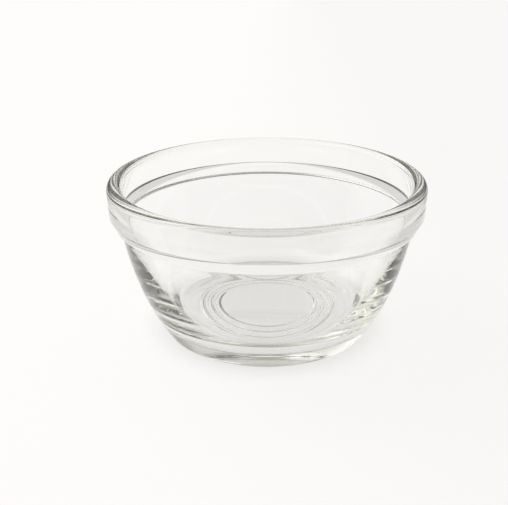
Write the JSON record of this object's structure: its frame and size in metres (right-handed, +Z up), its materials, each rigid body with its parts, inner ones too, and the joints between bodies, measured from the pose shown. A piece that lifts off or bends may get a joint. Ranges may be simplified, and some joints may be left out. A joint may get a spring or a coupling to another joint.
{
  "type": "bowl",
  "caption": "Small round pressed glass bowl with a rounded lip, a thick rim band that steps in to a tapered wall, and a flat foot ring.",
  "frame": {"origin": "centre of the flat foot ring, on the surface that the bowl stands on", "axes": "+Z up along the bowl's axis of symmetry, with +X and +Y level and free to choose, because the bowl is round"},
  "size_m": [0.12, 0.12, 0.06],
  "materials": {
    "glass": "clear pressed soda-lime glass with a very slight green-grey tint, smooth and glossy"
  },
  "bodies": {
    "root": {"bowl": "glass"}
  },
  "joints": []
}
